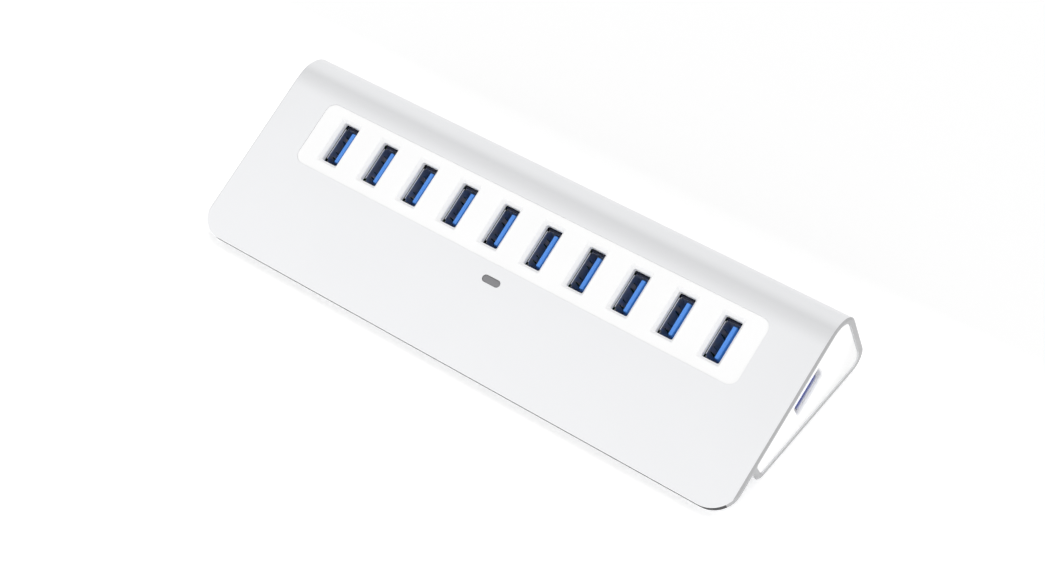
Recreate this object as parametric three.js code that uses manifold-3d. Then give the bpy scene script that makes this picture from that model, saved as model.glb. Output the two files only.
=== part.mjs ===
// A wedge-shaped desktop USB hub: a bent aluminium extrusion with a thin front lip, a row of
// sockets that stand up through its sloping face, one socket in its right end and a power jack in
// its left end. Millimetres, +Z up, X along the hub, the lip towards -Y, origin on the desk under
// the middle of the hub.
//
// Everything but the feet is laid out in the frame of the sloping face: x runs along the hub,
// v runs up the slope from the edge of the lip, and w stands out of the face, with 0 on the face.
import * as THREE from "three";
import { mergeVertices } from "three/addons/utils/BufferGeometryUtils.js";
import Module from "manifold-3d";

const wasm = await Module();
wasm.setup();

// The extrusion
const LENGTH = 200;
const SLOPE_RISE = 0.502; // height gained by the face for each millimetre forward to back
const SLOPE = Math.atan(SLOPE_RISE);
const BASE_DROP = 1.757; // how far the floor's plane lies under the edge of the lip
const BACK_V = 70.46; // where the back wall's plane meets the face's plane
const BACK_LEAN = 0.0737;
const FRONT_V = 15.1; // outside of the wall under the lip
const LIP_THICK = 2.6;
const TOP_WALL = 1.2;
const BACK_WALL = 2.65;
const FLOOR_WALL = 2.1;
const FRONT_WALL = 2.1;
const FRONT_CORNER_R = 3.2;
const REAR_CORNER_R = 5;
const EDGE_R = 0.8;
const RIDGE_V = 58.5; // where the face would turn down, were it not eased into the ridge
const RIDGE_TURN = THREE.MathUtils.degToRad(8);
const RIDGE_EASE_R = 40;
const RIDGE_R = 9.7;
const END_CHAMFER = 0.5;
const LIP_CORNER_R = 9;

// The sockets and the white insert around them
const ROW_X = -0.5; // the row of sockets, its insert and the light sit a little off the middle
const PORT_COUNT = 10;
const PORT_PITCH = 16;
const PORT_V = 45.2;
const SHELL_W = 5.7; // across a socket's narrow side
const SHELL_H = 13.14; // along its wide side
const SHEET = 0.3;
const SHELL_TOP = -3.2;
const TONGUE_THICK = 1.84;
const TONGUE_WIDE = 11.1;
const TONGUE_BACK = 0.35; // from the socket's rim to the end of its tongue
const INSERT_LONG = 166;
const INSERT_WIDE = 22.2;
const INSERT_V = 44.95;
const INSERT_R = 3.3;
const INSERT_SINK = 0.45;
const INSERT_BOTTOM = -2.9;
const INSERT_PLAY = 0.15;
const FLANGE = 1.5;
const HOLE_W = 5.9;
const HOLE_H = 14.0;
const MOUTH_W = 7.8;
const MOUTH_H = 16.1;
const HOLE_R = 0.5;
const MOUTH_DEEP = 1.3;
const TONGUE_TIP_R = 0.4;
const TONGUE_BLOCK = 2; // height of the block that the tongue stands on

// The status light
const LIGHT_V = 28.6;
const LIGHT_LONG = 6.5;
const LIGHT_WIDE = 2.4;
const LIGHT_SINK = 0.15;
const LIGHT_PLAY = 0.1;
const GUIDE_WIDE = 6;
const GUIDE_SIDE = [
  [26.2, -1.5],
  [30.6, -1.5],
  [30.6, -3.4],
  [41.4, -12],
  [41.4, -14.3],
  [38.8, -14.3],
  [38.8, -13],
  [28.6, -4.9],
  [26.2, -4.9],
]; // the guide's outline from the side, in v and w

// The boards
const GAP = 0.3; // left between pieces that rest on each other
const BOARD_TOP = -16;
const BOARD_THICK = 1.6;
const BOARD_FRONT = 36.9;
const BOARD_REAR = 65.8;
const PART_BASE = BOARD_TOP + GAP;
const RAIL_THICK = 1;
const RAIL_GRIP = 2.2; // how far a rail reaches over the board
const RAIL_FOOT = 1.2; // how far it is sunk in the wall behind it
const CHIP_V = 58.2;
const CHIP_X = [-48, 0, 48];
const CRYSTAL_STEP = 9; // from a chip to its crystal
const INDUCTOR_X = -76;
const REGULATOR_X = -64;
const CAPACITORS = [
  [-90, 60],
  [72, CHIP_V],
];
const CAPACITOR_R = 3.15;
const CAPACITOR_HIGH = 7.5;
const CAPACITOR_GROOVE = 0.3;
const STATUS_V = 40.1;

// The end caps, the side socket and the power jack
const CAP_THICK = 2.4;
const CAP_SINK = 0.25;
const CAP_PLAY = 0.12;
const SIDE_V = 44.25;
const SIDE_W = -7.0;
const SIDE_DEEP = 14;
const SIDE_BOARD_TOP = -2.3;
const SIDE_BOARD_THICK = 1.2;
const SIDE_BOARD_X = 84.7;
const SIDE_BOARD_V = [36, 61];
const HEADER_X = [86, 96.2];
const HEADER_V = [53.6, 58.7];
const SIDE_MOUTH_PLAY = [0.6, 0.4];
const SIDE_RIM = 0.9; // from the cap's outer face to the side socket's rim
const JACK_V = 50;
const JACK_W = -10.2;
const JACK_BORE_R = 3.2;
const JACK_WIDE = 9;
const JACK_DEEP = 13.5;
const JACK_OVER = 5.5; // from the bore's middle to the top of the housing
const JACK_BACK = 3; // thickness behind the bore
const JACK_SLOT_WIDE = 2.6;
const JACK_SLOT_DEEP = 1.2;
const JACK_PIN_R = 1;
const JACK_PIN_BORE_R = 1.3;
const CONTACT_WIDE = 2;
const CONTACT_THICK = 0.4;
const JACK_HOLE_PLAY = 0.8;

// The feet
const FOOT_R = 5;
const FOOT_THICK = 1.2;
const FOOT_X = 84;
const FOOT_FRONT_Y = 29;
const FOOT_REAR_Y = 62.5;
const FOOT_EDGE = 0.3;
const SAG = 0.02; // how far a flat facet may fall inside the arc that it stands for

const CAP_IN = LENGTH / 2 - CAP_SINK - CAP_THICK;

// ---------------------------------------------------------------- outlines and solids

// The outline through corners [across, up, radius], each rounded to its radius.
function rounded(corners) {
  const points = [];
  corners.forEach(([x, y, radius], i) => {
    const here = new THREE.Vector2(x, y);
    const before = new THREE.Vector2(...corners.at(i - 1).slice(0, 2)).sub(here).normalize();
    const after = new THREE.Vector2(...corners[(i + 1) % corners.length].slice(0, 2));
    after.sub(here).normalize();
    if (!radius) {
      points.push(here);
      return;
    }
    const half = Math.acos(before.dot(after)) / 2;
    const middle = before.clone().add(after).normalize().multiplyScalar(radius / Math.sin(half));
    const centre = here.clone().add(middle);
    const start = here.clone().addScaledVector(before, radius / Math.tan(half)).sub(centre);
    const turn = Math.sign(after.cross(before)) * (Math.PI - 2 * half);
    const facet = 2 * Math.acos(1 - SAG / radius);
    const steps = Math.max(2, Math.ceil(Math.abs(turn) / facet));
    for (let k = 0; k <= steps; k += 1) {
      const point = start.clone().rotateAround(new THREE.Vector2(), (turn * k) / steps);
      points.push(point.add(centre));
    }
  });
  return points;
}

function rectangle(wide, high, radius, x = 0, y = 0) {
  const [a, b] = [wide / 2, high / 2];
  const corners = [[a, -b], [a, b], [-a, b], [-a, -b]];
  return rounded(corners.map(([dx, dy]) => [x + dx, y + dy, radius]));
}

function solid(geometry) {
  const bare = geometry.clone();
  bare.deleteAttribute("normal");
  bare.deleteAttribute("uv");
  const merged = mergeVertices(bare, 1e-4);
  const mesh = { numProp: 3, vertProperties: merged.attributes.position.array };
  mesh.triVerts = new Uint32Array(merged.index.array);
  return new wasm.Manifold(new wasm.Mesh(mesh));
}

function geometryOf(manifold) {
  const mesh = manifold.getMesh();
  const geometry = new THREE.BufferGeometry();
  geometry.setAttribute("position", new THREE.BufferAttribute(mesh.vertProperties, 3));
  geometry.setIndex(new THREE.BufferAttribute(mesh.triVerts, 1));
  const faceted = geometry.toNonIndexed();
  faceted.computeVertexNormals();
  return faceted;
}

// A prism that stands on an outline drawn in x and v, between two heights.
function upright(outline, low, high) {
  const shape = new THREE.Shape(outline);
  const prism = new THREE.ExtrudeGeometry(shape, { depth: high - low, bevelEnabled: false });
  return prism.translate(0, 0, low);
}

// Turns a prism drawn in v and w so that it runs along x, from start.
function alongX(prism, start) {
  const turn = new THREE.Matrix4().set(0, 0, 1, start, 1, 0, 0, 0, 0, 1, 0, 0, 0, 0, 0, 1);
  return prism.applyMatrix4(turn);
}

// A prism with an outline drawn in v and w, between two places along x.
function lengthwise(outline, start, end) {
  const shape = new THREE.Shape(outline);
  const prism = new THREE.ExtrudeGeometry(shape, { depth: end - start, bevelEnabled: false });
  return alongX(prism, start);
}

// A block between two corners [x, v, w].
function block(low, high) {
  const size = high.map((value, i) => value - low[i]);
  const middle = high.map((value, i) => (value + low[i]) / 2);
  return new THREE.BoxGeometry(...size).translate(...middle);
}

// A funnel from one rectangle up to a larger one.
function funnel(wide, high, toWide, toHigh, low, top, x, v) {
  const prism = upright(rectangle(wide, high, HOLE_R), 0, top - low);
  const place = prism.attributes.position;
  for (let i = 0; i < place.count; i += 1) {
    const up = place.getZ(i) / (top - low);
    place.setX(i, place.getX(i) * (1 + up * (toWide / wide - 1)) + x);
    place.setY(i, place.getY(i) * (1 + up * (toHigh / high - 1)) + v);
    place.setZ(i, place.getZ(i) + low);
  }
  return prism;
}

// A round bar along x, with its end at start turned to a dome.
function pin(radius, start, end, v, w) {
  const dome = radius * 0.5;
  const profile = [[0, 0], [radius * 0.6, dome * 0.25], [radius, dome], [radius, end - start]];
  const points = [...profile, [0, end - start]].map(([r, y]) => new THREE.Vector2(r, y));
  const bar = new THREE.LatheGeometry(points, 24);
  return bar.rotateZ(-Math.PI / 2).translate(start, v, w);
}

// ---------------------------------------------------------------- section of the extrusion

const backV = (w) => BACK_V + BACK_LEAN * w;
const floorW = (v) => -BASE_DROP - SLOPE_RISE * v;

// The corner of the back wall and the floor, each moved inwards by its own distance.
function rearCorner(backIn, floorIn) {
  const lift = floorIn / Math.cos(SLOPE);
  const shift = backIn * Math.hypot(1, BACK_LEAN);
  const w = (floorW(BACK_V - shift) + lift) / (1 + SLOPE_RISE * BACK_LEAN);
  return [backV(w) - shift, w];
}

// The corner of the back wall and the eased part of the face.
function ridgeCorner() {
  const slant = Math.cos(RIDGE_TURN) + BACK_LEAN * Math.sin(RIDGE_TURN);
  const along = (BACK_V - RIDGE_V) / slant;
  return [RIDGE_V + along * Math.cos(RIDGE_TURN), -along * Math.sin(RIDGE_TURN)];
}

const OUTSIDE = rounded([
  [0, -LIP_THICK, EDGE_R],
  [FRONT_V, -LIP_THICK, EDGE_R],
  [FRONT_V, floorW(FRONT_V), FRONT_CORNER_R],
  [...rearCorner(0, 0), REAR_CORNER_R],
  [...ridgeCorner(), RIDGE_R],
  [RIDGE_V, 0, RIDGE_EASE_R],
  [0, 0, EDGE_R],
]);

// The hollow inside the extrusion, made smaller all round by a play.
function hollow(play) {
  const front = FRONT_V + FRONT_WALL + play;
  const top = -TOP_WALL - play;
  const floor = FLOOR_WALL + play;
  const back = BACK_WALL + play;
  return rounded([
    [front, floorW(front) + floor / Math.cos(SLOPE), 1.4],
    [...rearCorner(back, floor), 3],
    [backV(top) - back * Math.hypot(1, BACK_LEAN), top, 7],
    [front, top, 1.2],
  ]);
}

// Grooves for the main board, stopped short of the end caps.
function rails() {
  const start = -CAP_IN + GAP;
  const end = CAP_IN - GAP;
  const over = BOARD_TOP + GAP;
  const under = BOARD_TOP - BOARD_THICK - GAP;
  const [top, low] = [over + RAIL_THICK, under - RAIL_FOOT];
  const rear = backV(BOARD_TOP) - BACK_WALL;
  const [wallIn, wallOut] = [rear - RAIL_GRIP, rear + RAIL_FOOT];
  const [gripOut, gripIn] = [BOARD_FRONT - RAIL_GRIP, BOARD_FRONT + RAIL_FOOT];
  const post = BOARD_FRONT - GAP - 0.2;
  return [
    block([start, wallIn, over], [end, wallOut, top]),
    block([start, wallIn, under - RAIL_THICK], [end, wallOut, under]),
    block([start, gripOut, over], [end, gripIn, top]),
    block([start, gripOut, low], [end, post, top]),
  ];
}

function shell() {
  const bar = new THREE.ExtrudeGeometry(new THREE.Shape(OUTSIDE), {
    depth: LENGTH - 2 * END_CHAMFER,
    bevelThickness: END_CHAMFER,
    bevelSize: END_CHAMFER,
    bevelOffset: -END_CHAMFER,
    bevelSegments: 1,
  });
  const reach = BACK_V + 10;
  const half = LENGTH / 2;
  const plan = rounded([
    [-half - 1, reach, 0],
    [-half, 2 * LIP_CORNER_R, 0],
    [-half, 0, LIP_CORNER_R],
    [half, 0, LIP_CORNER_R],
    [half, 2 * LIP_CORNER_R, 0],
    [half + 1, reach, 0],
  ]);
  const light = rectangle(LIGHT_LONG, LIGHT_WIDE, LIGHT_WIDE / 2 - 0.01, ROW_X, LIGHT_V);
  const window = rectangle(INSERT_LONG, INSERT_WIDE, INSERT_R, ROW_X, INSERT_V);
  let body = solid(alongX(bar, -half + END_CHAMFER));
  body = body.intersect(solid(upright(plan, -60, 10)));
  body = body.subtract(solid(lengthwise(hollow(0), -half - 1, half + 1)));
  for (const rail of rails()) {
    body = body.add(solid(rail));
  }
  body = body.subtract(solid(upright(window, -TOP_WALL - 1, 1)));
  body = body.subtract(solid(upright(light, -TOP_WALL - 1, 1)));
  return geometryOf(body);
}

// ---------------------------------------------------------------- insert and sockets

const portX = (i) => ROW_X + (i - (PORT_COUNT - 1) / 2) * PORT_PITCH;

function portInsert() {
  const long = INSERT_LONG - 2 * INSERT_PLAY;
  const wide = INSERT_WIDE - 2 * INSERT_PLAY;
  const flangeTop = -TOP_WALL - GAP;
  const face = rectangle(long, wide, INSERT_R - INSERT_PLAY, ROW_X, INSERT_V);
  const rim = rectangle(long + 2 * FLANGE, wide + 2 * FLANGE, INSERT_R, ROW_X, INSERT_V);
  let body = solid(upright(face, INSERT_BOTTOM, -INSERT_SINK));
  body = body.add(solid(upright(rim, INSERT_BOTTOM, flangeTop)));
  for (let i = 0; i < PORT_COUNT; i += 1) {
    const x = portX(i);
    const hole = rectangle(HOLE_W, HOLE_H, HOLE_R, x, PORT_V);
    const throat = -INSERT_SINK - MOUTH_DEEP;
    body = body.subtract(solid(upright(hole, INSERT_BOTTOM - 1, throat + 0.2)));
    body = body.subtract(
      solid(funnel(HOLE_W, HOLE_H, MOUTH_W, MOUTH_H, throat, -INSERT_SINK + 0.001, x, PORT_V)),
    );
  }
  return geometryOf(body);
}

// A socket's folded steel shell, drawn in its own frame: it opens towards +z, with its narrow
// side along x and its wide side along y.
function socketShell(deep) {
  const sleeve = solid(upright(rectangle(SHELL_W, SHELL_H, 0.6), -deep, 0));
  const inside = rectangle(SHELL_W - 2 * SHEET, SHELL_H - 2 * SHEET, 0.3);
  return geometryOf(sleeve.subtract(solid(upright(inside, -deep - 1, 1))));
}

// Its insulator, in the same frame: a tongue that stands on a block at the back of the shell.
function socketTongue(deep) {
  const play = 0.1;
  const wide = SHELL_W / 2 - SHEET - play;
  const high = SHELL_H / 2 - SHEET - play;
  const half = TONGUE_WIDE / 2;
  const plate = rounded([
    [-half, -deep, 0],
    [half, -deep, 0],
    [half, -TONGUE_BACK, TONGUE_TIP_R],
    [-half, -TONGUE_BACK, TONGUE_TIP_R],
  ]);
  const base = solid(block([-wide, -high, -deep], [wide, high, TONGUE_BLOCK - deep]));
  return geometryOf(base.add(solid(lengthwise(plate, 0, TONGUE_THICK))));
}

// ---------------------------------------------------------------- status light

function lightGuide() {
  const outline = GUIDE_SIDE.map(([v, w]) => new THREE.Vector2(v, w)).reverse();
  const high = LIGHT_WIDE - 2 * LIGHT_PLAY;
  const pill = rectangle(LIGHT_LONG - 2 * LIGHT_PLAY, high, high / 2 - 0.01, ROW_X, LIGHT_V);
  const bar = solid(lengthwise(outline, ROW_X - GUIDE_WIDE / 2, ROW_X + GUIDE_WIDE / 2));
  return geometryOf(bar.add(solid(upright(pill, GUIDE_SIDE[0][1] - 1, -LIGHT_SINK))));
}

// ---------------------------------------------------------------- boards and their parts

function mainBoard() {
  const end = CAP_IN - GAP;
  const low = BOARD_TOP - BOARD_THICK;
  return block([-end, BOARD_FRONT, low], [end, BOARD_REAR, BOARD_TOP]);
}

// A part [long, wide, high] that stands on the main board at x and v.
function boardPart([long, wide, high], x, v) {
  const outline = rectangle(long, wide, 0.3, x, v);
  return upright(outline, PART_BASE, PART_BASE + high);
}

function capacitor(x, v) {
  const [radius, high, groove] = [CAPACITOR_R, CAPACITOR_HIGH, CAPACITOR_GROOVE];
  const seat = [[0, 0], [radius, 0], [radius, 3 * groove], [radius - groove, 4 * groove]];
  const can = [[radius, 5 * groove], [radius, high - groove], [radius - groove, high], [0, high]];
  const points = [...seat, ...can].map(([r, y]) => new THREE.Vector2(r, y));
  return new THREE.LatheGeometry(points, 24).rotateX(Math.PI / 2).translate(x, v, PART_BASE);
}

function sideBoard() {
  const low = SIDE_BOARD_TOP - SIDE_BOARD_THICK;
  const [front, rear] = SIDE_BOARD_V;
  return block([SIDE_BOARD_X, front, low], [CAP_IN - GAP, rear, SIDE_BOARD_TOP]);
}

function boardHeader() {
  const top = SIDE_BOARD_TOP - SIDE_BOARD_THICK - GAP;
  return block([HEADER_X[0], HEADER_V[0], PART_BASE], [HEADER_X[1], HEADER_V[1], top]);
}

// ---------------------------------------------------------------- end caps and power jack

function rightCap() {
  const plate = solid(lengthwise(hollow(CAP_PLAY), CAP_IN, CAP_IN + CAP_THICK));
  const [along, over] = SIDE_MOUTH_PLAY;
  const mouth = rectangle(SHELL_H + along, SHELL_W + over, EDGE_R, SIDE_V, SIDE_W);
  return geometryOf(plate.subtract(solid(lengthwise(mouth, CAP_IN - 1, LENGTH))));
}

function leftCap() {
  const plate = solid(lengthwise(hollow(CAP_PLAY), -CAP_IN - CAP_THICK, -CAP_IN));
  const mouthR = JACK_BORE_R + JACK_HOLE_PLAY;
  const mouth = rectangle(2 * mouthR, 2 * mouthR, mouthR - 0.01, JACK_V, JACK_W);
  return geometryOf(plate.subtract(solid(lengthwise(mouth, -LENGTH, 1 - CAP_IN))));
}

const JACK_FRONT = -CAP_IN + GAP;

function jackHousing() {
  const half = JACK_WIDE / 2;
  const rear = JACK_FRONT + JACK_DEEP;
  const low = [JACK_FRONT, JACK_V - half, PART_BASE];
  const round = (radius) => rectangle(2 * radius, 2 * radius, radius - 0.01, JACK_V, JACK_W);
  const bore = round(JACK_BORE_R);
  const pinHole = round(JACK_PIN_BORE_R);
  const slotHalf = JACK_SLOT_WIDE / 2;
  const slot = block(
    [JACK_FRONT - 1, JACK_V - slotHalf, JACK_W - JACK_BORE_R - JACK_SLOT_DEEP],
    [rear - JACK_BACK + 1, JACK_V + slotHalf, JACK_W],
  );
  let body = solid(block(low, [rear, JACK_V + half, JACK_W + JACK_OVER]));
  body = body.subtract(solid(lengthwise(bore, JACK_FRONT - 1, rear - JACK_BACK)));
  body = body.subtract(solid(lengthwise(pinHole, JACK_FRONT, rear + 1)));
  return geometryOf(body.subtract(solid(slot)));
}

function jackContact() {
  const low = JACK_W - JACK_BORE_R - JACK_SLOT_DEEP + GAP;
  const half = CONTACT_WIDE / 2;
  const rear = JACK_FRONT + JACK_DEEP - JACK_BACK + 0.5;
  return block([JACK_FRONT + 0.5, JACK_V - half, low], [rear, JACK_V + half, low + CONTACT_THICK]);
}

function foot() {
  const edge = [[FOOT_R - FOOT_EDGE, 0], [FOOT_R, FOOT_EDGE], [FOOT_R, FOOT_THICK]];
  const points = [[0, 0], ...edge, [0, FOOT_THICK]].map(([r, y]) => new THREE.Vector2(r, y));
  return new THREE.LatheGeometry(points, 32).rotateX(Math.PI / 2);
}

// ---------------------------------------------------------------- the assembly

function material(color, roughness, metalness) {
  return new THREE.MeshStandardMaterial({ color, roughness, metalness });
}

const ALUMINIUM = material(0xdfe0e3, 0.45, 1);
const WHITE = material(0xfafafa, 0.4, 0);
const STEEL = material(0xc9ccd2, 0.3, 1);
const BLUE = material(0x2b7de0, 0.45, 0);
const CLEAR = material(0x8e9095, 0.3, 0);
const BOARD = material(0x1f5a3c, 0.6, 0);
const BLACK = material(0x1b1b1d, 0.6, 0);
const RUBBER = material(0xb9bbbe, 0.9, 0);

const hub = new THREE.Group();
const face = new THREE.Group();
hub.add(face);

function place(parent, name, geometry, made) {
  const mesh = new THREE.Mesh(geometry, made.clone());
  mesh.name = name;
  parent.add(mesh);
  return mesh;
}

function addCase() {
  place(face, "shell", shell(), ALUMINIUM);
  place(face, "port_insert", portInsert(), WHITE);
  place(face, "right_end_cap", rightCap(), WHITE);
  place(face, "left_end_cap", leftCap(), WHITE);
  place(face, "light_guide", lightGuide(), CLEAR);
}

function addPorts() {
  const deep = SHELL_TOP - PART_BASE;
  for (let i = 0; i < PORT_COUNT; i += 1) {
    const number = String(i + 1).padStart(2, "0");
    const steel = place(face, `port_shell_${number}`, socketShell(deep), STEEL);
    const blue = place(face, `port_tongue_${number}`, socketTongue(deep), BLUE);
    steel.position.set(portX(i), PORT_V, SHELL_TOP);
    blue.position.copy(steel.position);
  }
}

// The side socket lies on its back under its own small board, with its tongue on the lower side.
function addSideSocket() {
  const steel = place(face, "upstream_shell", socketShell(SIDE_DEEP), STEEL);
  const blue = place(face, "upstream_tongue", socketTongue(SIDE_DEEP), BLUE);
  for (const mesh of [steel, blue]) {
    mesh.rotation.y = Math.PI / 2;
    mesh.position.set(LENGTH / 2 - CAP_SINK - SIDE_RIM, SIDE_V, SIDE_W);
  }
  place(face, "upstream_board", sideBoard(), BOARD);
  place(face, "board_header", boardHeader(), BLACK);
}

function addPowerJack() {
  place(face, "dc_jack_housing", jackHousing(), BLACK);
  const [start, end] = [JACK_FRONT + 1, JACK_FRONT + JACK_DEEP - 0.5];
  place(face, "dc_jack_pin", pin(JACK_PIN_R, start, end, JACK_V, JACK_W), STEEL);
  place(face, "dc_jack_contact", jackContact(), STEEL);
}

function addBoard() {
  const [chip, crystal, inductor] = [[9, 9, 1], [3.2, 2.5, 0.8], [10, 10, 4]];
  const [regulator, led] = [[6.5, 6.1, 2.3], [3.2, 2.8, 1.1]];
  place(face, "main_board", mainBoard(), BOARD);
  CHIP_X.forEach((x, i) => {
    place(face, `hub_chip_${i + 1}`, boardPart(chip, x, CHIP_V), BLACK);
    place(face, `crystal_${i + 1}`, boardPart(crystal, x + CRYSTAL_STEP, CHIP_V), STEEL);
  });
  place(face, "power_inductor", boardPart(inductor, INDUCTOR_X, CHIP_V), BLACK);
  place(face, "power_regulator", boardPart(regulator, REGULATOR_X, CHIP_V), BLACK);
  CAPACITORS.forEach(([x, v], i) => {
    place(face, `capacitor_${i + 1}`, capacitor(x, v), STEEL);
  });
  place(face, "status_led", boardPart(led, ROW_X, STATUS_V), WHITE);
}

// How far a point of the section lies forward to back once the face is tilted.
const across = (point) => point.x * Math.cos(SLOPE) - point.y * Math.sin(SLOPE);

function tiltFace() {
  const reach = OUTSIDE.map(across);
  const middle = (Math.max(...reach) + Math.min(...reach)) / 2;
  const floor = FOOT_THICK + GAP;
  face.rotation.x = SLOPE;
  face.position.set(0, -middle, floor + BASE_DROP * Math.cos(SLOPE));
  return middle;
}

function addFeet(middle) {
  const places = [[-1, FOOT_FRONT_Y], [1, FOOT_FRONT_Y], [-1, FOOT_REAR_Y], [1, FOOT_REAR_Y]];
  places.forEach(([side, y], i) => {
    const pad = place(hub, `foot_${i + 1}`, foot(), RUBBER);
    pad.position.set(side * FOOT_X, y - middle, 0);
  });
}

addCase();
addPorts();
addSideSocket();
addPowerJack();
addBoard();
addFeet(tiltFace());

export default hub;
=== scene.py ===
"""Looks for the wedge-shaped desktop USB hub.

Lengths in this script are millimetres and become metres as each mesh is made. Most pieces are
drawn in the frame of the sloping face, as in the CAD: x runs along the hub, v up the slope from
the edge of the lip, and w out of the face. The feet and the floor are drawn in the desk's frame.
"""

import math

import bmesh
import bpy
from mathutils import Matrix, Vector


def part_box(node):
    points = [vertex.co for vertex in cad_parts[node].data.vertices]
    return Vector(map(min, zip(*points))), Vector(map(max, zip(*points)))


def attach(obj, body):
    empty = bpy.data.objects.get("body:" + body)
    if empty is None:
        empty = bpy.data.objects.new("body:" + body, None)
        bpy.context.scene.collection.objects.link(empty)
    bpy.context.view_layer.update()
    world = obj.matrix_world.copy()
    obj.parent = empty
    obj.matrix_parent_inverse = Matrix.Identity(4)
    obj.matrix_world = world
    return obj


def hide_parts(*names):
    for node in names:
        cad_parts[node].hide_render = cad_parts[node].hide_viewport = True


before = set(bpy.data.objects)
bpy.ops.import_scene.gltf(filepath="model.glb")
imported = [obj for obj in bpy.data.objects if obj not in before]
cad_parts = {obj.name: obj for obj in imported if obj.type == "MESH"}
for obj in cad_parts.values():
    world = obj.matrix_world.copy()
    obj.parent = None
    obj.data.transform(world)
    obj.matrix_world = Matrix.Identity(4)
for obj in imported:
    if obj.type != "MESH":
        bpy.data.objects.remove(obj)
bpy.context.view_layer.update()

MM = 0.001
SAG = 0.004

# The extrusion
LENGTH = 200
SLOPE_RISE = 0.502
SLOPE = math.atan(SLOPE_RISE)
BASE_DROP = 1.757
BACK_V = 70.46
BACK_LEAN = 0.0737
FRONT_V = 15.1
LIP_THICK = 2.6
LIP_CORNER_R = 9
TOP_WALL = 1.2
BACK_WALL = 2.65
FLOOR_WALL = 2.1
FRONT_WALL = 2.1
RIDGE_V = 58.5
RIDGE_TURN = math.radians(8)
RIDGE_EASE_R = 40
RIDGE_R = 9.7
CHAMFER = 0.6
LIP_CHAMFER = 0.12
EDGE_R = 0.8
FRONT_CORNER_R = 3.2
REAR_CORNER_R = 5
RAIL_PLAY = 0.3

# The sockets and the insert around them
ROW_X = -0.5
PORT_COUNT = 10
PORT_PITCH = 16
PORT_V = 45.2
SHELL_W = 5.7
SHELL_H = 13.14
SHEET = 0.3
SHELL_TOP = -3.2
PORT_DEEP = 12.5
SIDE_DEEP = 14
TONGUE_THICK = 1.84
TONGUE_WIDE = 11.1
TONGUE_BACK = 0.35
INSERT_LONG = 166
INSERT_WIDE = 22.2
INSERT_V = 44.95
INSERT_R = 3.3
INSERT_SINK = 0.1
INSERT_BOTTOM = -3.1
INSERT_PLAY = 0.01
FLANGE = 1.5
HOLE_W = 5.9
HOLE_H = 14.0
MOUTH_W = 7.8
MOUTH_H = 16.1
MOUTH_DEEP = 1.3
HOLE_R = 0.5
WALL_CUT = 1.1
SHADE_BAR_WIDE = 0.66
SIDE_TIP = -0.5
SIDE_SINK = 0.9

# The status light, the boards, the end caps and the power jack
LIGHT_V = 28.6
LIGHT_LONG = 6.5
LIGHT_WIDE = 2.4
LIGHT_PLAY = 0.03
GUIDE_WIDE = 6
BOARD_TOP = -16
BOARD_THICK = 1.6
BOARD_FRONT = 36.9
CAP_THICK = 2.4
CAP_SINK = 0.25
CAP_PLAY = 0.03
SIDE_V = 44.25
SIDE_W = -7.0
JACK_V = 50
JACK_W = -10.2
JACK_BORE_R = 3.2
JACK_HALF_WIDE = 4.5
JACK_TALL = 5.5
CAP_IN = LENGTH / 2 - CAP_SINK - CAP_THICK

# The tent. Its left side has a dim strip overhead: OVERHEAD runs round the hub from behind (0) over
# the top (90) to the front (180), and ALONG says how much of it there is from the left (-1) to the
# right (1). SIDES is the plain white of the rest.
TENT = 1.45
OVERHEAD = [(0, 0.67), (30, 0.69), (45, 0.69), (59, 0.65), (72, 0.59), (85, 0.525), (92, 0.53), (97, 0.655)]
OVERHEAD += [(101, 0.755), (106, 0.79), (115, 0.81), (180, 0.81)]
ALONG = [(-1, 0), (-0.86, 0), (-0.7, 1), (-0.42, 1), (-0.3, 0.95), (-0.1, 0.95), (0.2, 0), (1, 0)]
SIDES = [(-1, 0.6), (-0.86, 0.62), (-0.7, 0), (-0.1, 0), (0.2, 0.76), (0.6, 0.76), (1, 0.7)]

# The floor: its glow, where it turns greyer behind the hub, and how bright it is
FLOOR_GLOW = 0.3
FLOOR_BACK = 30
FLOOR_FADE = 40
FLOOR_HALF = 3000
FLOOR_FRONT_SHADE, FLOOR_BACK_SHADE = 0.93, 0.68

# The camera: a point on the face that it looks at, and where it stands from there
AIM = Vector((8.6, -8.05, 17.7))
AZIMUTH = 38.85
ELEVATION = 45.52
ROLL = -2.3
DISTANCE = 610.7
LENS = 70.65


# ------------------------------------------------------------------ outlines


def rounded(corners, facets=None):
    """The outline through corners (across, up, radius), each rounded to its radius."""
    points = []
    for i, (x, y, radius) in enumerate(corners):
        here = Vector((x, y))
        before = (Vector(corners[i - 1][:2]) - here).normalized()
        after = (Vector(corners[(i + 1) % len(corners)][:2]) - here).normalized()
        if radius == 0:
            points.append(here)
            continue
        half = math.acos(max(-1, min(1, before.dot(after)))) / 2
        centre = here + (before + after).normalized() * (radius / math.sin(half))
        start = here + before * (radius / math.tan(half)) - centre
        turn = math.copysign(math.pi - 2 * half, after.cross(before))
        steps = facets or max(2, math.ceil(abs(turn) / (2 * math.acos(1 - SAG / radius))))
        points += [centre + Matrix.Rotation(turn * k / steps, 2) @ start for k in range(steps + 1)]
    return points


def rectangle(wide, high, radius, x=0, y=0, facets=8):
    a, b = wide / 2, high / 2
    corners = ((a, -b), (a, b), (-a, b), (-a, -b))
    return rounded([(x + dx, y + dy, radius) for dx, dy in corners], facets)


def circle(radius, x=0, y=0, count=64):
    turns = [2 * math.pi * k / count for k in range(count)]
    return [Vector((x + radius * math.cos(a), y + radius * math.sin(a))) for a in turns]


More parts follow.
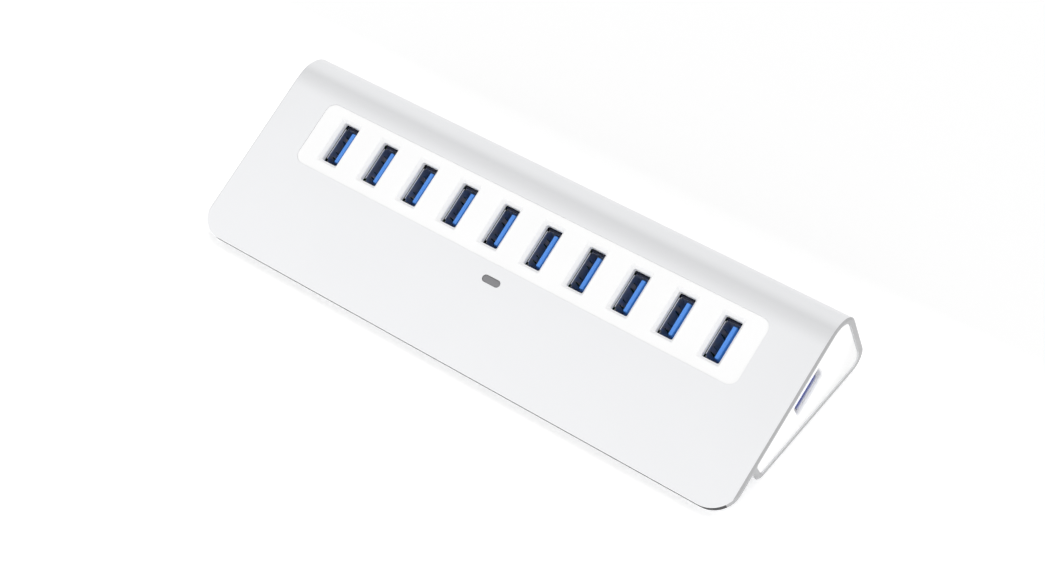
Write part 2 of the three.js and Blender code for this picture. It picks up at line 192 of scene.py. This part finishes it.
def inset(points, amount):
    """An outline moved inwards, for an outline that runs anticlockwise."""
    moved = []
    for i, here in enumerate(points):
        before = (here - points[i - 1]).normalized()
        after = (points[(i + 1) % len(points)] - here).normalized()
        along = (before + after).normalized()
        inward = Vector((-along.y, along.x))
        moved.append(here + inward * (amount / max(0.3, along.dot(after))))
    return moved


# ------------------------------------------------------------------ meshes


def upright(outline, w):
    """An outline drawn in x and v, at a height."""
    return [Vector((p.x, p.y, w)) for p in outline]


def across(outline, x):
    """An outline drawn in v and w, at a place along the hub."""
    return [Vector((x, p.x, p.y)) for p in outline]


def loft(rings, ring_shut=False):
    """A closed solid through rings of equal count; ring_shut joins the last ring to the first."""
    bm = bmesh.new()
    layers = [[bm.verts.new(p * MM) for p in ring] for ring in rings]
    pairs = list(zip(layers, layers[1:]))
    if ring_shut:
        pairs.append((layers[-1], layers[0]))
    for low, high in pairs:
        for i in range(len(low)):
            bm.faces.new((low[i - 1], low[i], high[i], high[i - 1]))
    if not ring_shut:
        bm.faces.new(layers[0])
        bm.faces.new(layers[-1])
    bmesh.ops.recalc_face_normals(bm, faces=bm.faces[:])
    return finished(bm)


def finished(bm):
    mesh = bpy.data.meshes.new("mesh")
    bm.to_mesh(mesh)
    bm.free()
    return mesh


def box(low, high):
    """A block between two corners (x, v, w)."""
    base = [Vector((low[0], low[1], low[2])), Vector((high[0], low[1], low[2]))]
    base += [Vector((high[0], high[1], low[2])), Vector((low[0], high[1], low[2]))]
    return loft([base, [Vector((p.x, p.y, high[2])) for p in base]])


def joined(meshes):
    """Several closed meshes as one mesh, without a boolean."""
    bm = bmesh.new()
    for mesh in meshes:
        bm.from_mesh(mesh)
    return finished(bm)


def combine(mesh, others, operation="DIFFERENCE"):
    """The mesh after a boolean with each of the others in turn."""
    body = bpy.data.objects.new("body", mesh)
    bpy.context.scene.collection.objects.link(body)
    tools = []
    for other in others:
        tool = bpy.data.objects.new("tool", other)
        bpy.context.scene.collection.objects.link(tool)
        step = body.modifiers.new("cut", "BOOLEAN")
        step.operation = operation
        step.solver = "EXACT"
        step.object = tool
        tools.append(tool)
    made = bpy.data.meshes.new_from_object(
        body.evaluated_get(bpy.context.evaluated_depsgraph_get())
    )
    for spent in (body, *tools):
        bpy.data.objects.remove(spent)
    return made


# ------------------------------------------------------------------ pieces


def face_frame():
    """The matrix of the sloping face, found from a socket that stands square to it."""
    low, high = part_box("port_shell_05")
    middle = (low + high) / 2
    local = Vector((0, PORT_V, SHELL_TOP - PORT_DEEP / 2)) * MM
    turn = Matrix.Rotation(SLOPE, 4, "X")
    place = middle - turn @ local
    return Matrix.Translation((0, place.y, place.z)) @ turn


FACE = face_frame()


def piece(name, mesh, material, replaces=(), place=None, edge=0.0, angle=30):
    """Puts a mesh in the scene as a piece of the hub, with its small edges softened."""
    mesh.transform(FACE if place is None else place)
    made = bpy.data.objects.new(name, mesh)
    bpy.context.scene.collection.objects.link(made)
    mesh.materials.clear()
    mesh.materials.append(material)
    mesh.shade_smooth()
    mesh.set_sharp_from_angle(angle=math.radians(angle))
    if edge:
        bevel = made.modifiers.new("edges", "BEVEL")
        bevel.width = edge * MM
        bevel.segments = 2
        bevel.limit_method = "ANGLE"
        bevel.angle_limit = math.radians(angle)
        bevel.harden_normals = True
        bevel.use_clamp_overlap = True
    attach(made, "root")
    if replaces:
        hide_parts(*replaces)
    return made


# ------------------------------------------------------------------ materials


ROUGH_SHIFT = 0.05
CLOUD = 60
RELIEF = 0.02


def surface(name, color, rough, metal=0.0, grain=3000, bump=0.1, shift=0.03, **more):
    """A shader whose colour, roughness and relief all vary with a fine grain and a broad cloud."""
    made = bpy.data.materials.new(name)
    made.use_nodes = True
    nodes, links = made.node_tree.nodes, made.node_tree.links
    shader = nodes["Principled BSDF"]
    shader.inputs["Metallic"].default_value = metal
    for socket, value in more.items():
        shader.inputs[socket.replace("_", " ")].default_value = value
    place = nodes.new("ShaderNodeTexCoord")
    fine = nodes.new("ShaderNodeTexNoise")
    fine.inputs["Scale"].default_value = grain
    fine.inputs["Detail"].default_value = 3
    broad = nodes.new("ShaderNodeTexNoise")
    broad.inputs["Scale"].default_value = CLOUD
    broad.inputs["Detail"].default_value = 4
    for noise in (fine, broad):
        links.new(place.outputs["Object"], noise.inputs["Vector"])
    ramp = nodes.new("ShaderNodeValToRGB")
    ramp.color_ramp.elements[0].position = 0.3
    ramp.color_ramp.elements[1].position = 0.7
    ramp.color_ramp.elements[0].color = (*[c * (1 - shift) for c in color], 1)
    ramp.color_ramp.elements[1].color = (*[min(1, c * (1 + shift)) for c in color], 1)
    links.new(broad.outputs["Fac"], ramp.inputs["Fac"])
    links.new(ramp.outputs["Color"], shader.inputs["Base Color"])
    span = nodes.new("ShaderNodeMapRange")
    span.inputs["To Min"].default_value = max(0.02, rough - ROUGH_SHIFT)
    span.inputs["To Max"].default_value = rough + ROUGH_SHIFT
    links.new(fine.outputs["Fac"], span.inputs["Value"])
    links.new(span.outputs["Result"], shader.inputs["Roughness"])
    relief = nodes.new("ShaderNodeBump")
    relief.inputs["Strength"].default_value = bump
    relief.inputs["Distance"].default_value = RELIEF * MM
    links.new(fine.outputs["Fac"], relief.inputs["Height"])
    links.new(relief.outputs["Normal"], shader.inputs["Normal"])
    return made


ALUMINIUM = surface(
    "anodised_aluminium", (0.83, 0.835, 0.848), 0.32, metal=1, grain=6000, bump=0.25, shift=0.004
)
CUT = {"metal": 1, "grain": 4000, "bump": 0.2, "shift": 0.01}
# The ends and the lip's rim: partly their bare cut finish, partly painted shade, darker than the face to
# stand for the shaded floor they reflect
CUT_FINISH_AND_SHADE = surface("cut_aluminium_and_painted_shade", (0.46, 0.462, 0.468), 0.45, **CUT)
# Near-black painted shade on the lip's front face, standing for the shadow under the lip that it reflects
LIP_FRONT_PAINTED_SHADE = surface("lip_front_painted_shade", (0.06, 0.06, 0.062), 0.5, **CUT)
WHITE = surface("white_plastic", (0.93, 0.93, 0.93), 0.32, grain=2500, bump=0.06, shift=0.01)
STEEL = surface("plated_steel", (0.74, 0.75, 0.78), 0.42, metal=1, grain=2500, bump=0.08)
BLUE = surface("blue_plastic", (0.08, 0.3, 0.86), 0.42, grain=4000)
# The tongues' blue plastic made darker for the side socket: painted shade for the shade deep in that mouth
SHADED_BLUE = surface("blue_plastic_painted_shade", (0.01, 0.06, 0.5), 0.45, grain=4000, Specular_IOR_Level=0.15)
# Near-black bars at the ends of each socket's mouth: painted shade for the dark gap beside the sleeve
SHADE_BAR = surface("painted_shade_bar", (0.02, 0.024, 0.045), 0.6, grain=4000, bump=0.2, Specular_IOR_Level=0.2)
GOLD = surface("contact_metal", (0.9, 0.66, 0.3), 0.25, metal=1, grain=3000, bump=0.05)
SMOKED = surface("smoked_plastic", (0.22, 0.22, 0.23), 0.3, grain=2000, bump=0.05)
BLACK = surface("black_plastic", (0.02, 0.02, 0.022), 0.45, grain=4000, bump=0.15)
RUBBER = surface("foot_rubber", (0.45, 0.45, 0.46), 0.85, grain=2500, bump=0.5)
BOARD = surface("circuit_board", (0.02, 0.16, 0.07), 0.4, grain=1500, bump=0.2, shift=0.3)
RESIN = surface("chip_resin", (0.03, 0.03, 0.033), 0.7, grain=5000, bump=0.4)
FERRITE = surface("ferrite", (0.08, 0.08, 0.085), 0.75, grain=3500, bump=0.5)
CAN = surface("drawn_can", (0.78, 0.79, 0.8), 0.3, metal=1, grain=1500, bump=0.1)
LED = surface("led_body", (0.85, 0.85, 0.8), 0.35, grain=2500, bump=0.05)


# ------------------------------------------------------------------ case


def back_v(w):
    return BACK_V + BACK_LEAN * w


def floor_w(v):
    return -BASE_DROP - SLOPE_RISE * v


def rear_corner(back_in, floor_in):
    """The corner of the back wall and the floor, each moved inwards by its own distance."""
    shift = back_in * math.hypot(1, BACK_LEAN)
    lift = floor_in / math.cos(SLOPE)
    w = (floor_w(BACK_V - shift) + lift) / (1 + SLOPE_RISE * BACK_LEAN)
    return back_v(w) - shift, w


def ridge_corner():
    """The corner of the back wall and the part of the face that is eased into the ridge."""
    slant = math.cos(RIDGE_TURN) + BACK_LEAN * math.sin(RIDGE_TURN)
    along = (BACK_V - RIDGE_V) / slant
    return RIDGE_V + along * math.cos(RIDGE_TURN), -along * math.sin(RIDGE_TURN)


def hollow(play):
    """The hollow inside the extrusion, made smaller all round by a play."""
    front = FRONT_V + FRONT_WALL + play
    top = -TOP_WALL - play
    floor = FLOOR_WALL + play
    back = BACK_WALL + play
    return rounded(
        [
            (front, floor_w(front) + floor / math.cos(SLOPE), 1.4),
            (*rear_corner(back, floor), 3),
            (back_v(top) - back * math.hypot(1, BACK_LEAN), top, 7),
            (front, top, 1.2),
        ]
    )


def rails():
    """Grooves for the main board, stopped short of the end caps."""
    end = CAP_IN - RAIL_PLAY
    over, under = BOARD_TOP + RAIL_PLAY, BOARD_TOP - BOARD_THICK - RAIL_PLAY
    rear = back_v(BOARD_TOP) - BACK_WALL
    return [
        box((-end, rear - 2.2, over), (end, rear + 1.2, over + 1)),
        box((-end, rear - 2.2, under - 1), (end, rear + 1.2, under)),
        box((-end, BOARD_FRONT - 2.2, under - 1.2), (end, BOARD_FRONT - 0.5, over + 0.5)),
        box((-end, BOARD_FRONT - 2.25, over), (end, BOARD_FRONT + 1.2, over + 1)),
    ]


def case():
    half = LENGTH / 2
    outside = rounded(
        [
            (0, -LIP_THICK, EDGE_R),
            (FRONT_V, -LIP_THICK, EDGE_R),
            (FRONT_V, floor_w(FRONT_V), FRONT_CORNER_R),
            (*rear_corner(0, 0), REAR_CORNER_R),
            (*ridge_corner(), RIDGE_R),
            (RIDGE_V, 0, RIDGE_EASE_R),
            (0, 0, 0),
        ]
    )
    narrow = inset(outside, CHAMFER)
    ends = [across(narrow, -half), across(outside, CHAMFER - half)]
    ends += [across(outside, half - CHAMFER), across(narrow, half)]
    wall = half + 0.02
    plan = rounded([(-wall, 0, LIP_CORNER_R), (wall, 0, LIP_CORNER_R), (wall, 90, 0), (-wall, 90, 0)])
    trim = inset(plan, LIP_CHAMFER)
    lip = loft([upright(trim, 3), upright(trim, 0), upright(plan, -LIP_CHAMFER), upright(plan, -60)])
    body = combine(loft(ends), [lip], "INTERSECT")
    inside = hollow(0)
    body = combine(body, [loft([across(inside, -half - 1), across(inside, half + 1)])])
    body = combine(body, rails(), "UNION")
    window = rectangle(INSERT_LONG, INSERT_WIDE, INSERT_R, ROW_X, INSERT_V, 12)
    light = rectangle(LIGHT_LONG, LIGHT_WIDE, LIGHT_WIDE / 2 - 0.01, ROW_X, LIGHT_V, 12)
    holes = [loft([upright(outline, -2.2), upright(outline, 1)]) for outline in (window, light)]
    body = combine(body, holes)
    made = piece("case", body, ALUMINIUM, ["shell"], edge=0.05)
    made.data.materials.append(CUT_FINISH_AND_SHADE)
    made.data.materials.append(LIP_FRONT_PAINTED_SHADE)
    cut_finish_and_shade(made.data)


def cut_finish_and_shade(mesh):
    """The cut finish darkened with painted shade (1) for both ends and the lip's rim, and near-black
    painted shade (2) for the rim's front, for the shadow under the lip that it reflects.
    """
    back = FACE.inverted()
    turn = back.to_3x3()
    for face in mesh.polygons:
        normal = turn @ face.normal
        at_end = abs(face.center.x) > (LENGTH / 2 - CHAMFER - 0.05) * MM and abs(normal.x) > 0.5
        v = (back @ face.center).y / MM
        at_lip = v < LIP_CORNER_R and abs(normal.z) < 0.4
        # Painted shade: the ends and the lip's rim get the darkened cut finish, the lip's front gets near
        # black
        face.material_index = 2 if at_lip and normal.y < -0.6 else int(at_end or at_lip)


# ------------------------------------------------------------------ insert and sockets


def port_x(i):
    return ROW_X + (i - (PORT_COUNT - 1) / 2) * PORT_PITCH


def insert():
    long, wide = INSERT_LONG - 2 * INSERT_PLAY, INSERT_WIDE - 2 * INSERT_PLAY
    face = rectangle(long, wide, INSERT_R - INSERT_PLAY, ROW_X, INSERT_V, 12)
    rim = rectangle(long + 2 * FLANGE, wide + 2 * FLANGE, INSERT_R, ROW_X, INSERT_V, 12)
    step = -TOP_WALL - 0.3
    levels = [(face, -INSERT_SINK), (face, step), (rim, step), (rim, INSERT_BOTTOM)]
    body = loft([upright(*level) for level in levels])
    throat = -INSERT_SINK - MOUTH_DEEP
    holes = []
    for i in range(PORT_COUNT):
        hole = rectangle(HOLE_W, HOLE_H, HOLE_R, port_x(i), PORT_V)
        mouth = rectangle(MOUTH_W, MOUTH_H, HOLE_R, port_x(i), PORT_V)
        levels = [(mouth, 1), (mouth, -INSERT_SINK), (hole, throat), (hole, -4)]
        holes.append(loft([upright(*level) for level in levels]))
    body = combine(body, holes)
    piece("insert", body, WHITE, ["port_insert"], edge=0.06)


def socket_sleeve(deep):
    """A socket's folded sheet, drawn with its mouth towards +z and its wide side along y."""

    def ring(inwards, z, radius):
        return upright(rectangle(SHELL_W - 2 * inwards, SHELL_H - 2 * inwards, radius), z)

    steps = [(0, -deep, 0.6), (0, -0.12, 0.6), (0.05, -0.03, 0.55), (0.13, 0, 0.5)]
    steps += [(0.2, -0.01, 0.42), (0.27, -0.06, 0.35), (SHEET, -0.16, 0.3), (SHEET, -deep, 0.3)]
    sleeve = loft([ring(*step) for step in steps], ring_shut=True)
    low_y, high_y = SHELL_H / 2 - 1.0, SHELL_H / 2 + 1
    slots = [
        box((-4, -high_y, -WALL_CUT), (4, -low_y, 1)),
        box((-4, low_y, -WALL_CUT), (4, high_y, 1)),
    ]
    springs = []
    for side in (-1, 1):
        for y in (-3.0, 3.0):
            low, high = sorted((side * 2.2, side * 3.2))
            slots.append(box((low, y - 1.1, -9.0), (high, y + 1.1, -2.2)))
            springs.append(leaf_spring(side, y))
    return joined([combine(sleeve, slots), *springs])


def leaf_spring(side, y):
    """A strip cut from the sleeve's wall and bent inwards, from its root near the mouth."""
    path = [(2.7, -2.0), (2.68, -2.6), (2.5, -3.6), (2.2, -5.0), (2.02, -6.0), (2.0, -6.6), (2.15, -7.4)]
    path += [(2.4, -8.2)]
    thick = 0.22
    rings = []
    for i, (x, z) in enumerate(path):
        taper = 0.8 - 0.25 * i / (len(path) - 1)
        corners = ((-thick / 2, -taper), (thick / 2, -taper), (thick / 2, taper), (-thick / 2, taper))
        rings.append([Vector((side * (x + dx), y + dy, z)) for dx, dy in corners])
    return loft(rings)


def socket_shade_bars():
    """A near-black bar at each end of a socket's mouth, over the low edges of its sleeve: painted shade for
    the dark gap there.
    """
    long = HOLE_W - 0.06
    bars = []
    for side in (-1, 1):
        middle = side * (HOLE_H / 2 - 0.04 - SHADE_BAR_WIDE / 2)
        rings = []
        for inwards, z in ((0, -1.08), (0, -0.6), (0.1, -0.5)):
            outline = rectangle(long - 2 * inwards, SHADE_BAR_WIDE - 2 * inwards, 0.2, 0, middle)
            rings.append(upright(outline, z))
        bars.append(loft(rings))
    return joined(bars)


def socket_tongue(deep, tip):
    """The insulator and its base, with the side away from the contacts thinned towards the tip."""
    base_x, base_y = SHELL_W / 2 - SHEET - 0.1, SHELL_H / 2 - SHEET - 0.1
    base = box((-base_x, -base_y, -deep), (base_x, base_y, 2 - deep))

    def ring(near, far, ends, z):
        thick = TONGUE_THICK - near - far
        outline = rectangle(thick, TONGUE_WIDE - 2 * ends, 0.2, near + thick / 2, 0, 4)
        return upright(outline, z)

    steps = [(0, 0, 0, 1 - deep), (0, 0, 0, tip - 2.4), (0, 0.2, 0, tip - 1.2)]
    steps += [(0, 0.45, 0.04, tip - 0.35), (0.04, 0.52, 0.12, tip - 0.1), (0.12, 0.62, 0.22, tip)]
    plate = loft([ring(*step) for step in steps])
    return combine(base, [plate], "UNION")


def socket_contacts(deep):
    """Five flat pads near the tongue's tip and four sprung contacts behind them."""
    pads = [box((-0.08, y - 0.4, -3.9), (0.3, y + 0.4, -1.2)) for y in (-4, -2, 0, 2, 4)]
    strips = []
    path = [(-0.05, 2.2 - deep), (-0.12, -9.2), (-0.3, -7.6), (-0.62, -6.2), (-0.7, -5.6)]
    path += [(-0.5, -5.0), (0.02, -4.4)]
    for y in (-3.5, -1.0, 1.0, 3.5):
        rings = []
        for x, z in path:
            corners = ((-0.1, -0.45), (0.1, -0.45), (0.1, 0.45), (-0.1, 0.45))
            rings.append([Vector((x + dx, y + dy, z)) for dx, dy in corners])
        strips.append(loft(rings))
    return joined(pads + strips)


def socket(label, deep, place, nodes, blue=BLUE, tip=-TONGUE_BACK):
    shell_node, tongue_node = nodes
    tongue = socket_tongue(deep, tip)
    piece(f"{label}_sleeve", socket_sleeve(deep), STEEL, [shell_node], place)
    piece(f"{label}_tongue", tongue, blue, [tongue_node], place, edge=0.05)
    piece(f"{label}_contacts", socket_contacts(deep), GOLD, (), place, edge=0.03)


def sockets():
    for i in range(PORT_COUNT):
        number = f"{i + 1:02d}"
        place = FACE @ Matrix.Translation(Vector((port_x(i), PORT_V, SHELL_TOP)) * MM)
        nodes = (f"port_shell_{number}", f"port_tongue_{number}")
        socket(f"socket_{number}", PORT_DEEP, place, nodes)
        # Painted shade: a near-black bar at each end of the mouth
        piece(f"socket_{number}_shade_bars", socket_shade_bars(), SHADE_BAR, (), place)
    mouth = Vector((LENGTH / 2 - CAP_SINK - SIDE_SINK, SIDE_V, SIDE_W)) * MM
    place = FACE @ Matrix.Translation(mouth) @ Matrix.Rotation(math.pi / 2, 4, "Y")
    nodes = ("upstream_shell", "upstream_tongue")
    # The side socket's tongue gets the darker blue: painted shade
    socket("side_socket", SIDE_DEEP, place, nodes, SHADED_BLUE, SIDE_TIP)


# ------------------------------------------------------------------ end caps, jack, light, feet


def cap_plate(side):
    outline = hollow(CAP_PLAY)
    near, far = CAP_IN, CAP_IN + CAP_THICK
    rings = [(0, near), (0, far - 0.25), (0.08, far - 0.08), (0.25, far)]
    return loft([across(inset(outline, amount), side * x) for amount, x in rings])


def end_caps():
    far = CAP_IN + CAP_THICK
    narrow = rectangle(SHELL_H + 0.6, SHELL_W + 0.4, 0.8, SIDE_V, SIDE_W)
    wide = rectangle(SHELL_H + 1.2, SHELL_W + 1.0, 1.0, SIDE_V, SIDE_W)
    levels = [(narrow, CAP_IN - 1), (narrow, far - 0.5), (wide, far), (wide, far + 1)]
    hole = loft([across(*level) for level in levels])
    right = combine(cap_plate(1), [hole])
    piece("right_cap", right, WHITE, ["right_end_cap"], edge=0.08)
    bores = [(JACK_BORE_R + 0.8, far - 0.5), (JACK_BORE_R + 1.3, far), (JACK_BORE_R + 1.3, far + 1)]
    rings = [across(circle(JACK_BORE_R + 0.8, JACK_V, JACK_W), 1 - CAP_IN)]
    rings += [across(circle(r, JACK_V, JACK_W), -x) for r, x in bores]
    left = combine(cap_plate(-1), [loft(rings)])
    piece("left_cap", left, WHITE, ["left_end_cap"], edge=0.08)


def power_jack():
    front = 0.3 - CAP_IN
    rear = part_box("dc_jack_housing")[1].x / MM
    low = (front, JACK_V - JACK_HALF_WIDE, BOARD_TOP + RAIL_PLAY)
    body = box(low, (rear, JACK_V + JACK_HALF_WIDE, JACK_W + JACK_TALL))
    flare = JACK_BORE_R + 0.4
    bores = [(flare, front - 1), (flare, front), (JACK_BORE_R, front + 0.4), (JACK_BORE_R, rear - 3)]
    cutters = [loft([across(circle(r, JACK_V, JACK_W), x) for r, x in bores])]
    cutters.append(box((front - 1, JACK_V - 1.3, JACK_W - 4.4), (rear - 2, JACK_V + 1.3, JACK_W)))
    piece("jack_housing", combine(body, cutters), BLACK, ["dc_jack_housing"], edge=0.15)
    start = front + 1
    profile = [(0.15, 0.0), (0.45, 0.03), (0.72, 0.14), (0.92, 0.36), (1.0, 0.7), (1.0, 12)]
    pin = loft([across(circle(r, JACK_V, JACK_W, 32), start + x) for r, x in profile])
    piece("jack_pin", pin, GOLD, ["dc_jack_pin"])
    path = [(0.5, -4.0), (2, -3.9), (4, -3.4), (5.5, -2.9), (7, -3.3), (9, -3.8), (11, -3.9)]
    rings = []
    for x, w in path:
        corners = ((-1, -0.15), (1, -0.15), (1, 0.15), (-1, 0.15))
        rings.append([Vector((front + x, JACK_V + dv, JACK_W + w + dw)) for dv, dw in corners])
    piece("jack_spring", loft(rings), GOLD, ["dc_jack_contact"], edge=0.05)


def light_guide():
    corners = [(26.2, -1.5), (26.2, -4.9), (28.6, -4.9), (38.8, -13), (38.8, -14.3), (41.4, -14.3)]
    corners += [(41.4, -12), (30.6, -3.4), (30.6, -1.5)]
    outline = rounded([(v, w, 0.3) for v, w in corners], 3)
    half = GUIDE_WIDE / 2
    bar = loft([across(outline, ROW_X - half), across(outline, ROW_X + half)])
    high = LIGHT_WIDE - 2 * LIGHT_PLAY
    levels = [(0, -2.5), (0, -0.35), (0.06, -0.2), (0.25, -0.12)]
    pill = rectangle(LIGHT_LONG - 2 * LIGHT_PLAY, high, high / 2 - 0.01, ROW_X, LIGHT_V, 12)
    plug = loft([upright(inset(pill, amount), w) for amount, w in levels])
    guide = combine(bar, [plug], "UNION")
    piece("light_window", guide, SMOKED, ["light_guide"], edge=0.05)


def feet():
    for number in range(1, 5):
        low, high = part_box(f"foot_{number}")
        middle = (low + high) / 2
        radius, top = (high.x - low.x) / 2 / MM, high.z / MM
        profile = [(radius - 0.6, 0), (radius - 0.25, 0.08), (radius - 0.05, 0.3)]
        profile += [(radius, 0.5), (radius, top)]
        mesh = loft([upright(circle(r), z) for r, z in profile])
        place = Matrix.Translation((middle.x, middle.y, 0))
        piece(f"pad_{number}", mesh, RUBBER, [f"foot_{number}"], place)


INNER = {
    "main_board": (BOARD, "circuit_board"),
    "upstream_board": (BOARD, "circuit_board"),
    "board_header": (BLACK, "black_plastic"),
    "power_inductor": (FERRITE, "ferrite"),
    "power_regulator": (RESIN, "chip_resin"),
    "capacitor_1": (CAN, "capacitor_can"),
    "capacitor_2": (CAN, "capacitor_can"),
    "status_led": (LED, "led_body"),
}
for number in (1, 2, 3):
    INNER[f"hub_chip_{number}"] = (RESIN, "chip_resin")
    INNER[f"crystal_{number}"] = (CAN, "crystal_can")


def inner_parts():
    for name, (material, slot) in INNER.items():
        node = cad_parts[name]
        node.data.materials.clear()
        node.data.materials.append(material)


# ------------------------------------------------------------------ studio


def floor_surface():
    """A pale floor that is a little greyer behind the hub, and glows enough to stay white."""
    made = bpy.data.materials.new("floor")
    made.use_nodes = True
    nodes, links = made.node_tree.nodes, made.node_tree.links
    shader = nodes["Principled BSDF"]
    shader.inputs["Roughness"].default_value = 0.7
    shader.inputs["Specular IOR Level"].default_value = 0
    shader.inputs["Emission Color"].default_value = (1, 1, 1, 1)
    shader.inputs["Emission Strength"].default_value = FLOOR_GLOW
    place = nodes.new("ShaderNodeTexCoord")
    split = nodes.new("ShaderNodeSeparateXYZ")
    links.new(place.outputs["Object"], split.inputs["Vector"])
    back = nodes.new("ShaderNodeMapRange")
    back.inputs["From Min"].default_value = FLOOR_BACK * MM
    back.inputs["From Max"].default_value = (FLOOR_BACK + FLOOR_FADE) * MM
    links.new(split.outputs["Y"], back.inputs["Value"])
    shade = ramp(nodes, [(0, FLOOR_FRONT_SHADE), (1, FLOOR_BACK_SHADE)])
    links.new(back.outputs["Result"], shade.inputs["Fac"])
    links.new(shade.outputs["Color"], shader.inputs["Base Color"])
    return made


def studio():
    half = FLOOR_HALF
    corners = [Vector((x, y, 0)) for x, y in ((-half, -half), (half, -half), (half, half), (-half, half))]
    bm = bmesh.new()
    bm.faces.new([bm.verts.new(p * MM) for p in corners])
    ground = bpy.data.objects.new("floor", finished(bm))
    ground.data.materials.append(floor_surface())
    bpy.context.scene.collection.objects.link(ground)
    bpy.context.scene.view_settings.view_transform = "Standard"


def ramp(nodes, stops):
    """A grey colour ramp through stops (place, value)."""
    made = nodes.new("ShaderNodeValToRGB")
    elements = made.color_ramp.elements
    while len(elements) < len(stops):
        elements.new(0.5)
    for element, (place, value) in zip(elements, stops):
        element.position = place
        element.color = (value, value, value, 1)
    return made


def sky():
    """A soft white tent: dimmer in a strip overhead along the hub, and towards its right end."""
    world = bpy.data.worlds.new("tent")
    bpy.context.scene.world = world
    world.use_nodes = True
    nodes, links = world.node_tree.nodes, world.node_tree.links
    place = nodes.new("ShaderNodeTexCoord")
    split = nodes.new("ShaderNodeSeparateXYZ")
    links.new(place.outputs["Generated"], split.inputs["Vector"])
    angle = nodes.new("ShaderNodeMath")
    angle.operation = "ARCTAN2"
    links.new(split.outputs["Z"], angle.inputs[0])
    links.new(split.outputs["Y"], angle.inputs[1])
    turn = nodes.new("ShaderNodeMapRange")
    turn.inputs["From Max"].default_value = math.pi
    links.new(angle.outputs["Value"], turn.inputs["Value"])
    over = ramp(nodes, [(angle_at / 180, value) for angle_at, value in OVERHEAD])
    links.new(turn.outputs["Result"], over.inputs["Fac"])
    side = nodes.new("ShaderNodeMapRange")
    side.inputs["From Min"].default_value = -1
    links.new(split.outputs["X"], side.inputs["Value"])
    along = ramp(nodes, [((x + 1) / 2, value) for x, value in ALONG])
    links.new(side.outputs["Result"], along.inputs["Fac"])
    both = nodes.new("ShaderNodeVectorMath")
    both.operation = "MULTIPLY"
    links.new(over.outputs["Color"], both.inputs[0])
    links.new(along.outputs["Color"], both.inputs[1])
    plain = ramp(nodes, [((x + 1) / 2, value) for x, value in SIDES])
    links.new(side.outputs["Result"], plain.inputs["Fac"])
    total = nodes.new("ShaderNodeVectorMath")
    total.operation = "ADD"
    links.new(both.outputs["Vector"], total.inputs[0])
    links.new(plain.outputs["Color"], total.inputs[1])
    background = nodes["Background"]
    links.new(total.outputs["Vector"], background.inputs["Color"])
    background.inputs["Strength"].default_value = TENT


def camera():
    data = bpy.data.cameras.new("camera")
    data.lens = LENS
    data.sensor_width = 36
    data.clip_start, data.clip_end = 0.01, 20
    made = bpy.data.objects.new("camera", data)
    bpy.context.scene.collection.objects.link(made)
    azimuth, elevation = math.radians(AZIMUTH), math.radians(ELEVATION)
    flat = math.cos(elevation)
    back = Vector((math.sin(azimuth) * flat, -math.cos(azimuth) * flat, math.sin(elevation)))
    turn = (-back).to_track_quat("-Z", "Y").to_matrix().to_4x4()
    roll = Matrix.Rotation(math.radians(ROLL), 4, "Z")
    made.matrix_world = Matrix.Translation((AIM + back * DISTANCE) * MM) @ turn @ roll
    bpy.context.scene.camera = made


camera()
studio()
sky()
case()
insert()
sockets()
end_caps()
power_jack()
light_guide()
feet()
inner_parts()
